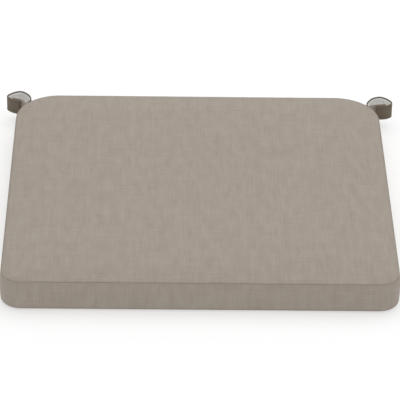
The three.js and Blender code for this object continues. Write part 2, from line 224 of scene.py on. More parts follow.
@dataclass(frozen=True)
class WovenCloth:
    """A plain-woven cloth in heathered yarn, laid on a piece's own UV map, which is in metres."""

    name: str
    dark: Colour
    mid: Colour
    light: Colour
    yarn: float = 0.62 * MM
    depth: float = 0.08 * MM
    streak: float = 0.3
    roughness: float = 0.88
    sheen: float = 0.12

    def material(self) -> Material:
        """Builds the cloth's material."""
        g = Graph(self.name)
        cloth = g.add("UVMap", uv_map="cloth").outputs["UV"]
        parts = g.add("SeparateXYZ")
        g.join(g.stretched(cloth, (1 / self.yarn, 1 / self.yarn, 1.0)), parts.inputs[0])
        across, along = parts.outputs[0], parts.outputs[1]
        warp_no, weft_no = g.math("FLOOR", across), g.math("FLOOR", along)
        warp = self._yarn_height(g, across, along, warp_no, 0.0)
        weft = self._yarn_height(g, along, across, weft_no, 1.0)
        height = g.math("MAXIMUM", warp, weft)
        is_warp = g.math("GREATER_THAN", warp, weft)
        tone = self._tone(g, cloth, warp_no, weft_no, is_warp)
        colour = g.ramp(tone, [(0.28, self.dark), (0.5, self.mid), (0.74, self.light)])
        # Painted shade: the colour is darker where the yarns dip, in the hollows between them.
        hollow = g.math("MULTIPLY_ADD", height, 0.2, 0.84)
        # Painted shade: a little darker along the seams, where the cloth tucks in.
        seam = g.add("Attribute", attribute_name="seam").outputs["Fac"]
        shade = g.math("MULTIPLY", hollow, g.math("MULTIPLY_ADD", seam, -0.03, 1.0))
        grey = g.add("CombineColor")
        for socket in grey.inputs:
            g.join(shade, socket)
        g.join(g.blend(1.0, colour, grey.outputs[0], "MULTIPLY"), g.shader.inputs["Base Color"])
        fuzz = g.noise(cloth, 2600.0, 3.0)
        rough = g.math("MULTIPLY_ADD", fuzz, 0.16, self.roughness - 0.08)
        g.join(rough, g.shader.inputs["Roughness"])
        pile = g.math("MULTIPLY_ADD", fuzz, 0.35, height)
        ripple = g.noise(g.stretched(cloth, (1.0, 0.5, 1.0)), 55.0, 2.0)
        g.bump(g.math("MULTIPLY_ADD", ripple, 0.9, pile), self.depth)
        g.set(Sheen_Weight=self.sheen, Sheen_Roughness=0.6, Specular_IOR_Level=0.18)
        return g.material

    def _yarn_height(self, g: Graph, across: Socket, along: Socket, number: Socket, phase: float) -> Socket:
        """How high one set of yarns stands: round across the yarn, rising over every other one.

        Args:
            g: The material's graph.
            across: The place across the yarns, in yarns.
            along: The place along them, in yarns.
            number: Which yarn it is.
            phase: 1 for the set that goes under where the other goes over.

        Returns:
            The height, from 0 to 1.
        """
        crown = g.math("ABSOLUTE", g.math("SINE", g.math("MULTIPLY", across, math.pi)))
        step = g.math("ADD", g.math("ADD", along, number), phase + 0.5)
        wave = g.math("COSINE", g.math("MULTIPLY", step, math.pi))
        lift = g.math("MULTIPLY_ADD", wave, 0.5, 0.5)
        return g.math("MULTIPLY", crown, lift)

    def _tone(self, g: Graph, cloth: Socket, warp_no: Socket, weft_no: Socket, is_warp: Socket) -> Socket:
        """Light and dark from yarn to yarn and along each one, as in a heathered cloth.

        Args:
            g: The material's graph.
            cloth: The piece's UV, in metres.
            warp_no: The warp yarn's number.
            weft_no: The weft yarn's number.
            is_warp: 1 where the warp is on top.

        Returns:
            The tone, from about 0 to 1.
        """
        tones = []
        for number, squeeze in ((warp_no, (900.0, 28.0, 1.0)), (weft_no, (28.0, 900.0, 1.0))):
            each = g.add("TexWhiteNoise", noise_dimensions="1D")
            g.join(number, each.inputs["W"])
            slub = g.noise(g.stretched(cloth, squeeze), 1.0, 3.0)
            base = g.math("MULTIPLY_ADD", slub, 0.6, 0.2)
            tones.append(g.math("MULTIPLY_ADD", each.outputs["Value"], 0.1, base))
        top = g.add("Mix", data_type="FLOAT")
        g.join(is_warp, top.inputs[0])
        g.join(tones[1], top.inputs[2])
        g.join(tones[0], top.inputs[3])
        cloudy = g.noise(g.stretched(cloth, (1.0, 0.35, 1.0)), 95.0, 4.0)
        soft = g.math("MULTIPLY_ADD", cloudy, self.streak, -0.06 - self.streak / 2)
        return g.math("ADD", top.outputs[0], soft)


@dataclass(frozen=True)
class TapeCloth:
    """A narrow woven or pile tape: ribs across it, or a nap of small loops."""

    name: str
    dark: Colour
    light: Colour
    rib: float = 1.1 * MM
    ribs: float = 1.0
    nap: float = 0.0
    depth: float = 0.25 * MM
    roughness: float = 0.9
    sheen: float = 0.1

    def material(self) -> Material:
        """Builds the tape's material."""
        g = Graph(self.name)
        cloth = g.add("UVMap", uv_map="cloth").outputs["UV"]
        parts = g.add("SeparateXYZ")
        g.join(g.stretched(cloth, (1 / self.rib, 1 / self.rib, 1.0)), parts.inputs[0])
        rib_no = g.math("FLOOR", parts.outputs[1])
        slide = g.math("MULTIPLY_ADD", rib_no, 0.5, parts.outputs[0])
        ridge = g.math("ABSOLUTE", g.math("SINE", g.math("MULTIPLY", parts.outputs[1], math.pi)))
        thread = g.math("ABSOLUTE", g.math("SINE", g.math("MULTIPLY", slide, math.pi)))
        woven = g.math("MULTIPLY_ADD", thread, 0.35, g.math("MULTIPLY", ridge, 0.65))
        loops = g.add("TexVoronoi", feature="F1")
        g.join(cloth, loops.inputs["Vector"])
        loops.inputs["Scale"].default_value = 1500.0
        fuzz = g.noise(cloth, 3200.0, 4.0)
        pile = g.math("MULTIPLY_ADD", fuzz, 1.3, g.math("MULTIPLY", loops.outputs["Distance"], -0.7))
        height = g.math("MULTIPLY_ADD", woven, self.ribs, g.math("MULTIPLY", pile, self.nap))
        cloudy = g.math("MULTIPLY_ADD", g.noise(cloth, 130.0, 4.0), 0.7, -0.35)
        # Painted shade: the tape is lighter on its rib crests and loop tops and darker in the hollows between
        # them. The cloudy part is the tape's own tone.
        tone = g.math("ADD", g.math("MULTIPLY_ADD", height, 0.55, 0.2), cloudy)
        g.join(g.ramp(tone, [(0.15, self.dark), (0.75, self.light)]), g.shader.inputs["Base Color"])
        g.join(g.math("MULTIPLY_ADD", fuzz, 0.14, self.roughness - 0.07), g.shader.inputs["Roughness"])
        g.bump(height, self.depth)
        g.set(Sheen_Weight=self.sheen, Sheen_Roughness=0.5, Specular_IOR_Level=0.2)
        return g.material


@dataclass(frozen=True)
class Filling:
    """Foam or wadding, mottled in object space: pores for foam, matted fibre for wadding."""

    name: str
    dark: Colour
    light: Colour
    scale: float
    depth: float
    fibre: float = 1.0

    def material(self) -> Material:
        """Builds the filling's material."""
        g = Graph(self.name)
        place = g.add("TexCoord").outputs["Object"]
        pulled = g.stretched(place, (1.0, self.fibre, 1.0))
        cells = g.add("TexVoronoi", feature="DISTANCE_TO_EDGE")
        g.join(pulled, cells.inputs["Vector"])
        cells.inputs["Scale"].default_value = self.scale
        walls = g.math("MULTIPLY", cells.outputs["Distance"], -2.4)
        mottle = g.noise(place, self.scale / 12, 4.0)
        # Painted shade: darker towards the middle of each cell, in the pores and in the gaps between fibres.
        # The mottle is the filling's own tone.
        tone = g.math("MULTIPLY_ADD", mottle, 1.1, g.math("MULTIPLY_ADD", walls, 0.5, 0.15))
        g.join(g.ramp(tone, [(0.3, self.dark), (0.75, self.light)]), g.shader.inputs["Base Color"])
        g.bump(g.math("MULTIPLY_ADD", mottle, 0.8, walls), self.depth)
        g.set(Roughness=0.95, Specular_IOR_Level=0.15)
        return g.material


@dataclass(frozen=True)
class Hard:
    """A moulded or plated finish with a little wear in its tone and gloss."""

    name: str
    dark: Colour
    light: Colour
    metallic: float
    roughness: float

    def material(self) -> Material:
        """Builds the finish's material."""
        g = Graph(self.name)
        place = g.add("TexCoord").outputs["Object"]
        worn = g.noise(place, 420.0, 4.0)
        fine = g.noise(g.stretched(place, (1.0, 1.0, 6.0)), 2400.0, 2.0)
        g.join(g.ramp(worn, [(0.35, self.dark), (0.65, self.light)]), g.shader.inputs["Base Color"])
        g.join(g.math("MULTIPLY_ADD", worn, 0.3, self.roughness - 0.15), g.shader.inputs["Roughness"])
        g.bump(fine, 0.02 * MM)
        g.set(Metallic=self.metallic)
        return g.material


# ---------------------------------------------------------------- meshes


def as_object(name: str, bm: Mesh, material: Material, crease: float = 40.0) -> Piece:
    """Makes a smooth-shaded object of a mesh and frees the mesh.

    Args:
        name: The object's name.
        bm: Its mesh.
        material: Its material.
        crease: Edges sharper than this many degrees stay hard.

    Returns:
        The object, in the scene.
    """
    bm.normal_update()
    for edge in bm.edges:
        edge.smooth = edge.calc_face_angle(0.0) < math.radians(crease)
    for face in bm.faces:
        face.smooth = True
    mesh = bpy.data.meshes.new(name)
    bm.to_mesh(mesh)
    bm.free()
    mesh.materials.append(material)
    obj = bpy.data.objects.new(name, mesh)
    bpy.context.scene.collection.objects.link(obj)
    return obj


def lattice(bm: Mesh, across: int, along: int) -> list[tuple[bmesh.types.BMVert, int, int]]:
    """Adds a grid and numbers its vertices.

    Args:
        bm: Where the grid goes.
        across: Its cells in X.
        along: Its cells in Y.

    Returns:
        Each new vertex with its column and row.
    """
    made = bmesh.ops.create_grid(bm, x_segments=across, y_segments=along, size=0.5)["verts"]
    return [(v, round((v.co.x + 0.5) * across), round((v.co.y + 0.5) * along)) for v in made]


def swept(
    name: str,
    stations: Sequence[Axes],
    ring: Sequence[Span],
    material: Material,
) -> Piece:
    """A section swept through stations and capped at both ends, with a UV map in metres.

    Args:
        name: The object's name.
        stations: Each station's place, and the directions of the section's two axes there.
        ring: The section's closed outline.
        material: Its material.

    Returns:
        The object.
    """
    bm = bmesh.new()
    uv = bm.loops.layers.uv.new("cloth")
    runs = [0.0]
    for (before, _, _), (after, _, _) in zip(stations, stations[1:]):
        runs.append(runs[-1] + (after - before).length)
    rounds = [0.0]
    for one, other in zip(ring, [*ring[1:], ring[0]]):
        rounds.append(rounds[-1] + math.dist(one, other))
    for vert, i, j in lattice(bm, len(stations) - 1, len(ring)):
        for loop in vert.link_loops:
            loop[uv].uv = (rounds[j], runs[i])
        place, first, second = stations[i]
        a, b = ring[j % len(ring)]
        vert.co = place + first * a + second * b
    bmesh.ops.remove_doubles(bm, verts=bm.verts, dist=1e-7)
    bmesh.ops.holes_fill(bm, edges=[e for e in bm.edges if e.is_boundary])
    bmesh.ops.recalc_face_normals(bm, faces=bm.faces)
    return as_object(name, bm, material, 50.0)


def rounded_bar(width: float, thickness: float, radius: float, steps: int = 3) -> list[Span]:
    """The outline of a rounded bar: its first axis is the thickness, its second the width.

    Args:
        width: Across the second axis.
        thickness: Across the first.
        radius: Of its corners.
        steps: Facets in each corner.

    Returns:
        The outline's points, counterclockwise.
    """
    ring = []
    for quarter, (sx, sy) in enumerate(((1, 1), (-1, 1), (-1, -1), (1, -1))):
        cx, cy = sx * (thickness / 2 - radius), sy * (width / 2 - radius)
        for step in range(steps + 1):
            angle = math.pi / 2 * (quarter + step / steps)
            ring.append((cx + radius * math.cos(angle), cy + radius * math.sin(angle)))
        if sx != sy:
            ring += [(sx * thickness / 2, cy * (1 - k / 4)) for k in range(1, 8)]
    return ring


def stitches(name: str, marks: Iterable[Axes], thread: Material) -> Piece:
    """A run of lockstitches, each a short bead of thread sunk into the cloth.

    Args:
        name: The object's name.
        marks: Each stitch's middle, its direction, and the way out of the cloth.
        thread: Its material.

    Returns:
        The object.
    """
    bm = bmesh.new()
    for middle, way, out in marks:
        beside = way.cross(out).normalized()
        turn = Matrix((way.normalized(), beside, out.normalized())).transposed().to_4x4()
        size = Matrix.Diagonal((*STITCH, 1.0))
        bead = Matrix.Translation(middle) @ turn @ size @ Matrix.Rotation(math.pi / 2, 4, "Y")
        bmesh.ops.create_uvsphere(bm, u_segments=6, v_segments=5, radius=1.0, matrix=bead)
    return as_object(name, bm, thread, 180.0)


def facing(angle: float) -> Vector:
    """A level unit vector at an angle from +X."""
    return Vector((math.cos(angle), math.sin(angle), 0.0))


def smooth(value: float) -> float:
    """A smooth step from 0 to 1."""
    value = min(max(value, 0.0), 1.0)
    return value * value * (3 - 2 * value)


def rounding(inside: float, reach: float) -> float:
    """A quarter circle's height, from 0 at the edge to 1 at its reach inside."""
    left = 1 - min(inside / reach, 1.0)
    return math.sqrt(1 - left * left)


def waver(place: Vector, *layers: Span) -> float:
    """A sum of noises at a place, each layer with its scale and its height."""
    return sum(noise.noise(place * scale) * height for scale, height in layers)


# ---------------------------------------------------------------- the pad's plan


@dataclass(frozen=True)
class Corner:
    """A rounded corner of the pad's plan."""

    centre: Vector
    radius: float
    start: float
    turn: float

    @property
    def middle(self) -> Vector:
        """The middle of its arc."""
        return self.centre + facing(self.start + self.turn / 2) * self.radius


@dataclass
class Plan:
    """The pad's plan: a slight trapezium with rounded corners, counterclockwise from the front right."""

    front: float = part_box("cover_top_panel")[1][0] * 2
    rear: float = 498 * MM
    depth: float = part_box("cover_top_panel")[1][1] * 2
    front_radius: float = 26 * MM
    rear_radius: float = 60 * MM
    zip_half: float = 181.3 * MM
    easing: float = 0.05
    corners: list[Corner] = field(init=False)

    def __post_init__(self) -> None:
        """Rounds the four corners."""
        points = [(self.front, -1), (self.rear, 1), (-self.rear, 1), (-self.front, -1)]
        points = [Vector((x / 2, y * self.depth / 2, 0.0)) for x, y in points]
        self.corners = []
        for i, here in enumerate(points):
            arriving = (here - points[i - 1]).normalized()
            leaving = (points[(i + 1) % 4] - here).normalized()
            turn = arriving.angle(leaving)
            radius = self.rear_radius if i in (1, 2) else self.front_radius
            start = here - arriving * radius * math.tan(turn / 2)
            inward = Vector((-arriving.y, arriving.x, 0.0))
            angle = math.atan2(arriving.y, arriving.x) - math.pi / 2
            self.corners.append(Corner(start + inward * radius, radius, angle, turn))

    def side(self, number: int, share: float) -> tuple[Vector, Vector, float]:
        """A place on the outline, on the side between the middles of two corners.

        Args:
            number: The side, 0 to 3: right, rear, left, front.
            share: How far along it, 0 to 1.

        Returns:
            The place, the way out there, and the length along the side.
        """
        a, b = self.corners[number], self.corners[(number + 1) % 4]
        leaves = a.centre + facing(a.start + a.turn) * a.radius
        arrives = b.centre + facing(b.start) * b.radius
        first, straight, last = a.radius * a.turn / 2, (arrives - leaves).length, b.radius * b.turn / 2
        if number == 1:
            share = self._eased(share, first + straight + last)
        run = share * (first + straight + last)
        if run < first:
            out = facing(a.start + a.turn / 2 + run / a.radius)
            return a.centre + out * a.radius, out, run
        if run > first + straight:
            out = facing(b.start + (run - first - straight) / b.radius)
            return b.centre + out * b.radius, out, run
        out = facing(b.start)
        return leaves.lerp(arrives, (run - first) / straight), out, run

    def _eased(self, share: float, length: float) -> float:
        """Moves a place on the rear side a little, so that a column stands at each end of the zip."""
        for sign in (-1, 1):
            end = 0.5 + sign * self.zip_half / length
            nearest = min(COLUMNS, key=lambda column: abs(column - end))
            near = 1 - abs(share - nearest) / self.easing
            share += (end - nearest) * smooth(near)
        return share

    def depth_in(self, place: Vector) -> float:
        """How far inside the outline a place is."""
        best = math.inf
        for i, corner in enumerate(self.corners):
            other = self.corners[(i + 1) % 4]
            away = place - corner.centre
            away.z = 0.0
            quarters = (corner.start + math.pi / 2, corner.start + corner.turn - math.pi / 2)
            if all(away.dot(facing(angle)) > 0 for angle in quarters):
                return corner.radius - away.length
            best = min(best, other.radius - (place - other.centre).dot(facing(other.start)))
        return best


def spread(count: int, fine: float) -> list[float]:
    """Places from -1 to 1 that lie closer together towards both ends.

    Args:
        count: Cells between them.
        fine: The end cells' size against the even size.

    Returns:
        The places.
    """
    places = []
    for k in range(count + 1):
        even = 2 * k / count - 1
        left = 1 - abs(even)
        places.append(math.copysign(1 - left * (fine + (1 - fine) * left), even))
    return places


CELLS = 112
PLACES = spread(CELLS, 0.34)
COLUMNS = [(place + 1) / 2 for place in PLACES]


class Region(Enum):
    """A part of a padded form's surface."""

    TOP = 0
    BOTTOM = 1
    FRONT_SIDES = 2
    END_RIGHT = 3
    END_LEFT = 4
    FLAP_LOWER = 5
    FLAP_UPPER = 6
    WINDOW = 7


@dataclass
class PadForm:
    """A closed padded form on the pad's plan: two crowned faces joined by a wall of rows.

    Args:
        plan: The pad's plan.
        inset: The wall's distance inside the plan.
        rows: The wall's heights, from its bottom edge up.
        crown: The top's height at a depth inside the outline and a place.
        dish: The bottom's height, likewise.
        bulge: How far the wall stands out at a height and a place.
        window: The heights between which the rear wall has its slot.
    """

    plan: Plan
    inset: float
    rows: Sequence[float]
    crown: Height
    dish: Height
    bulge: Height
    window: Span = (0.0, 0.0)

    def build(self) -> Mesh:
        """Builds the form.

        Returns:
            The form, with each face's region in the layer "region" and its UVs in metres.
        """
        bm = bmesh.new()
        self.region = bm.faces.layers.int.new("region")
        self.uv = bm.loops.layers.uv.new("cloth")
        self._face(bm, self.rows[-1], self.crown, Region.TOP)
        self._face(bm, self.rows[0], self.dish, Region.BOTTOM)
        self._wall(bm)
        bmesh.ops.remove_doubles(bm, verts=bm.verts, dist=0.02 * MM)
        bmesh.ops.recalc_face_normals(bm, faces=bm.faces)
        return bm

    def _place(self, u: float, v: float) -> Vector:
        """Maps a place on a square from -1 to 1 to the pad's plan."""
        ring = max(abs(u), abs(v))
        if ring == 0.0:
            return Vector()
        if u == ring and v > -ring:
            number, along = 0, v / ring
        elif v == ring:
            number, along = 1, -u / ring
        elif u == -ring:
            number, along = 2, -v / ring
        else:
            number, along = 3, u / ring
        edge, out, _ = self.plan.side(number, (along + 1) / 2)
        edge = edge - out * self.inset
        return self._flat(u, v) + (edge - self._flat(u / ring, v / ring)) * ring**4

    def _flat(self, u: float, v: float) -> Vector:
        """Maps the square to the trapezium with sharp corners."""
        half = self.plan.front + (self.plan.rear - self.plan.front) * (v + 1) / 2
        return Vector((u * (half / 2 - self.inset), v * (self.plan.depth / 2 - self.inset), 0.0))

    def _face(self, bm: Mesh, edge: float, height: Height, region: Region) -> None:
        """Adds the top or the bottom.

        Args:
            bm: The form.
            edge: The height of its edge.
            height: Its height at a depth and a place.
            region: Which of the two it is.
        """
        for vert, i, j in lattice(bm, CELLS, CELLS):
            place = self._place(PLACES[i], PLACES[j])
            rim = i in (0, CELLS) or j in (0, CELLS)
            inside = max(self.plan.depth_in(place) - self.inset, 0.0)
            place.z = edge if rim else height(inside, place)
            vert.co = place
            for face in vert.link_faces:
                face[self.region] = region.value
            for loop in vert.link_loops:
                loop[self.uv].uv = (place.x, place.y)

    def _wall(self, bm: Mesh) -> None:
        """Adds the wall, from the middle of the front right corner round to itself."""
        around = 4 * CELLS
        starts = [0.0]
        for number in range(4):
            starts.append(starts[-1] + self.plan.side(number, 1.0)[2])
        placed = {}
        for vert, i, j in lattice(bm, around, len(self.rows) - 1):
            number, column = min(i // CELLS, 3), i - CELLS * min(i // CELLS, 3)
            edge, out, run = self.plan.side(number, COLUMNS[column])
            z = self.rows[j]
            inner = 0 < j < len(self.rows) - 1
            stand = self.bulge(z, edge) if inner else 0.0
            vert.co = edge + out * (stand - self.inset) + Vector((0, 0, z))
            placed[vert] = (i, j)
            for loop in vert.link_loops:
                loop[self.uv].uv = (starts[number] + run, z)
        faces = {face for vert in placed for face in vert.link_faces}
        for face in faces:
            column = min(placed[v][0] for v in face.verts)
            row = min(placed[v][1] for v in face.verts)
            face[self.region] = self._strip(column, self.rows[row]).value

    def _strip(self, column: int, low: float) -> Region:
        """Which strip of the wall a cell belongs to, by its column and its lower edge."""
        if not CELLS <= column < 2 * CELLS:
            return Region.FRONT_SIDES
        middle = self.plan.side(1, (COLUMNS[column - CELLS] + COLUMNS[column - CELLS + 1]) / 2)[0].x
        if abs(middle) > self.plan.zip_half:
            return Region.END_RIGHT if middle > 0 else Region.END_LEFT
        if low < self.window[0] - 0.1 * MM:
            return Region.FLAP_LOWER
        return Region.FLAP_UPPER if low > self.window[1] - 0.1 * MM else Region.WINDOW


# ---------------------------------------------------------------- cover


REAR_SEAM = {Side.RIGHT: 1, Side.LEFT: 2}


@dataclass
class Cover:
    """The sewn cover: top and bottom panels, and a boxing in strips with the zip's slot in it."""

    plan: Plan
    cloth: Material
    thickness: float = 1.0 * MM
    bottom_seam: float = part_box("cover_bottom_panel")[1][2]
    top_seam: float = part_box("cover_top_panel")[0][2]
    peak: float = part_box("cover_top_panel")[1][2]
    slot_low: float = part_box("boxing_rear_lower")[1][2]
    slot_high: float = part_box("boxing_rear_upper")[0][2]
    shoulder: float = 19 * MM
    tuck: float = 0.5 * MM
    swell: float = 3.0 * MM
    wall_swell: float = 0.5 * MM
    strap_low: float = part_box("strap_wall_right")[0][2]
    strap_high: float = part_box("strap_wall_right")[1][2]
    strap_gap: float = 1.95 * MM
    seam_gap: float = 0.12 * MM
    dome: float = 1.3 * MM
    dome_reach: float = 95 * MM
    roll: float = 4.5 * MM
    ease: float = 30 * MM
    frames: int = 20
    pressure: float = 4.0

    def build(self) -> None:
        """Builds and fills out the cover, and cuts it into its panels."""
        slot = (self.slot_low, self.slot_high)
        form = PadForm(self.plan, 0.0, self._rows(), self._crown, self._dish, self._bulge, slot)
        bm = form.build()
        self._fill_out(bm)
        self._pucker(bm)
        pieces = {
            Region.TOP: ("cover_top", "cover_top_panel"),
            Region.BOTTOM: ("cover_bottom", "cover_bottom_panel"),
            Region.FRONT_SIDES: ("boxing_front", "boxing_front_sides"),
            Region.END_RIGHT: ("boxing_corner_right", "boxing_end_right"),
            Region.END_LEFT: ("boxing_corner_left", "boxing_end_left"),
            Region.FLAP_LOWER: ("boxing_flap_lower", "boxing_rear_lower"),
            Region.FLAP_UPPER: ("boxing_flap_upper", "boxing_rear_upper"),
        }
        for region, (name, node) in pieces.items():
            obj = self._panel(bm, region, name)
            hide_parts(node)
            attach(obj, "pad")
            log.info("cover piece %s", name)
        bm.free()

    def _rows(self) -> list[float]:
        """The wall's heights, close together at the seams, with rows at the slot's edges."""
        low, high = self.bottom_seam, self.top_seam
        lower = [low + (self.slot_low - low) * s for s in (0, 0.1, 0.25, 0.45, 0.7, 0.9, 1)]
        upper = [high - (high - self.slot_high) * s for s in (1, 0.9, 0.7, 0.45, 0.25, 0.1, 0)]
        return lower + upper

    def _crown(self, inside: float, place: Vector) -> float:
        """The top's height: a soft shoulder over the foam's edge, then a long low dome."""
        shoulder = 1 - (1 - min(inside / self.shoulder, 1.0)) ** 2
        dome = 1 - (1 - min(inside / self.dome_reach, 1.0)) ** 2
        rise = self.peak - self.top_seam - self.swell * 0.7
        return self.top_seam + (rise - self.dome) * shoulder + self.dome * dome

    def _dish(self, inside: float, place: Vector) -> float:
        """The bottom's height: it rolls down from its seam and lies flat."""
        return self.bottom_seam * (1 - rounding(inside, self.roll))

    def _bulge(self, z: float, edge: Vector) -> float:
        """How far the wall stands out: full between its seams, held back by the zip."""
        share = (z - self.bottom_seam) / (self.top_seam - self.bottom_seam)
        zip_near = 0.0
        if self._at_rear(edge):
            zip_near = smooth((self.plan.zip_half + 30 * MM - abs(edge.x)) / (40 * MM))
        return math.sin(math.pi * share) ** 0.6 * (0.8 - 0.5 * zip_near) * MM

    def _at_rear(self, place: Vector) -> bool:
        """Whether a place is on the rear wall."""
        return place.y > self.plan.depth * 0.49

    def _to_seam(self, z: float) -> float:
        """A height's distance to the nearer seam."""
        return min(abs(z - self.top_seam), abs(z - self.bottom_seam))

    def _held(self, vert: bmesh.types.BMVert, seams: set[bmesh.types.BMVert]) -> bool:
        """Whether a vertex stays put: on a seam, on the ground or beside the zip."""
        by_zip = self._at_rear(vert.co) and abs(vert.co.x) < self.plan.zip_half + 2 * MM
        on_ground = vert.co.z < self.bottom_seam * 0.5
        return vert in seams or on_ground or (by_zip and vert.co.z < self.top_seam)

    def _seams(self, bm: Mesh) -> set[bmesh.types.BMVert]:
        """The vertices where two regions meet."""
        region = bm.faces.layers.int["region"]
        meets = (v for v in bm.verts if len({f[region] for f in v.link_faces}) > 1)
        corners = [self.plan.corners[REAR_SEAM[side]].middle.xy for side in Side]
        near = (v for v in bm.verts if any(math.dist(v.co.xy, place) < 1.5 * MM for place in corners))
        return set(meets) | set(near)

    def _fill_out(self, bm: Mesh) -> None:
        """Presses the cloth out against its seams by cloth simulation and takes on its shape.

        Args:
            bm: The cover, which is changed.
        """
        seams = self._seams(bm)
        bm.verts.index_update()
        held = [v.index for v in bm.verts if self._held(v, seams)]
        mesh = bpy.data.meshes.new("sim")
        bm.to_mesh(mesh)
        obj = bpy.data.objects.new("sim", mesh)
        scene = bpy.context.scene
        scene.collection.objects.link(obj)
        obj.vertex_groups.new(name="held").add(held, 1.0, "REPLACE")
        cloth = obj.modifiers.new("cloth", "CLOTH")
        cloth.settings.use_pressure = True
        cloth.settings.uniform_pressure_force = self.pressure
        cloth.settings.vertex_group_mass = "held"
        cloth.settings.effector_weights.gravity = 0.0
        cloth.settings.quality = 4
        cloth.point_cache.frame_start, cloth.point_cache.frame_end = 1, self.frames
        for number in range(1, self.frames + 1):
            scene.frame_set(number)
        bpy.context.view_layer.update()
        shaped = obj.evaluated_get(bpy.context.evaluated_depsgraph_get()).data
        for vert, after in zip(bm.verts, shaped.vertices):
            move = after.co - vert.co
            most = self.wall_swell
            if vert.co.z > self.top_seam:
                most = self.swell * smooth(self.plan.depth_in(vert.co) / self.ease)
            if move.length > most:
                move *= most / move.length
            vert.co += move
            vert.co.z = max(vert.co.z, 0.0)
        scene.frame_set(1)
        bpy.data.objects.remove(obj)
        bpy.data.meshes.remove(mesh)

    def _pucker(self, bm: Mesh) -> None:
        """Tucks the seams in and lets the cloth beside them wander a little, as sewn cloth does."""
        for vert in bm.verts:
            near = 0.0
            if self.plan.depth_in(vert.co) < 3 * MM:
                near = math.exp(-self._to_seam(vert.co.z) / (2.2 * MM))
            from_top = math.exp(-((vert.co.z - self.top_seam) ** 2) / (2.4 * MM) ** 2)
            tuck = self.tuck * from_top if near > 0 else 0.0
            along_seam = waver(vert.co, (60.0, 0.5), (190.0, 0.22))
            vert.co += self._outward(vert.co) * (near * along_seam * 0.45 * MM - tuck)
            if self.top_seam + 2 * MM < vert.co.z:
                vert.co.z += waver(vert.co, (11.0, 0.8), (34.0, 0.25)) * MM

    def _outward(self, place: Vector) -> Vector:
        """The level way out of the pad near its edge."""
        for corner in self.plan.corners:
            away = place - corner.centre
            away.z = 0.0
            if away.x * corner.centre.x > 0 and away.y * corner.centre.y > 0 and away.length > 0:
                return away.normalized()
        if abs(place.y) - self.plan.depth / 2 > abs(place.x) - self.plan.rear / 2 - 4 * MM:
            return Vector((0.0, math.copysign(1.0, place.y), 0.0))
        return Vector((math.copysign(1.0, place.x), 0.0, 0.0))

    def _gap_at(self, z: float) -> float:
        """Half the opening of a rear corner seam at a height: wide where the strap goes in."""
        taper = 3.5 * MM
        low = smooth((z - self.strap_low + taper) / taper)
        high = smooth((self.strap_high + taper - z) / taper)
        return self.seam_gap + (self.strap_gap - self.seam_gap) * min(low, high)

    def _open_seams(self, bm: Mesh, region: Region) -> None:
        """Draws a wall strip's ends back from the rear corner seams.

        Args:
            bm: The strip.
            region: Its region.
        """
        for side in Side:
            middle = self.plan.corners[REAR_SEAM[side]].middle
            back = Vector((side.value, -1.0, 0.0)).normalized()
            if region == Region.FRONT_SIDES:
                back.negate()
            for vert in bm.verts:
                if vert.is_boundary and math.dist(vert.co.xy, middle.xy) < 1.2 * MM:
                    vert.co -= back * self._gap_at(vert.co.z)

    def _panel(self, whole: Mesh, region: Region, name: str) -> Piece:
        """Cuts one panel out of the cover and turns its edges in.

        Args:
            whole: The whole cover.
            region: The panel's region.
            name: Its object's name.

        Returns:
            The panel.
        """
        bm = whole.copy()
        layer = bm.faces.layers.int["region"]
        bmesh.ops.delete(bm, geom=[f for f in bm.faces if f[layer] != region.value], context="FACES")
        wall = region not in (Region.TOP, Region.BOTTOM)
        if wall:
            self._open_seams(bm, region)
        rim = [e for e in bm.edges if e.is_boundary]
        turned = bmesh.ops.extrude_edge_only(bm, edges=rim)["geom"]
        for vert in (g for g in turned if isinstance(g, bmesh.types.BMVert)):
            upright = wall and self._to_seam(vert.co.z) >= 0.5 * MM
            vert.co -= self._outward(vert.co) * (2.2 if upright else 0.9) * MM
        self._mark(bm)
        obj = as_object(name, bm, self.cloth, 180.0)
        skin = obj.modifiers.new("thickness", "SOLIDIFY")
        skin.thickness = self.thickness
        skin.offset = -1.0
        finer = obj.modifiers.new("finer", "SUBSURF")
        finer.levels = finer.render_levels = 1
        return obj

    def _mark(self, bm: Mesh) -> None:
        """Stores how near each vertex is to a seam, for the painted shade along the seams."""
        layer = bm.verts.layers.float.new("seam")
        for vert in bm.verts:
            if self.plan.depth_in(vert.co) <= 25 * MM:
                vert[layer] = math.exp(-self._to_seam(vert.co.z) / (1.6 * MM))


# ---------------------------------------------------------------- filling


@dataclass(frozen=True)
class Layer:
    """The shape of one layer of filling, from the heights of its side's two edges."""

    low_edge: float
    high_edge: float
    rise: float
    drop: float
    roll: float = 32 * MM
    short: float = 0.6 * MM

    def crown(self, inside: float, place: Vector) -> float:
        """The layer's top."""
        rise = (self.rise - self.short) * rounding(inside, self.roll)
        return self.high_edge + rise + waver(place, (70.0, 0.2)) * MM

    def dish(self, inside: float, place: Vector) -> float:
        """The layer's bottom."""
        return self.low_edge - (self.drop - self.short) * rounding(inside, self.drop * 2.2)


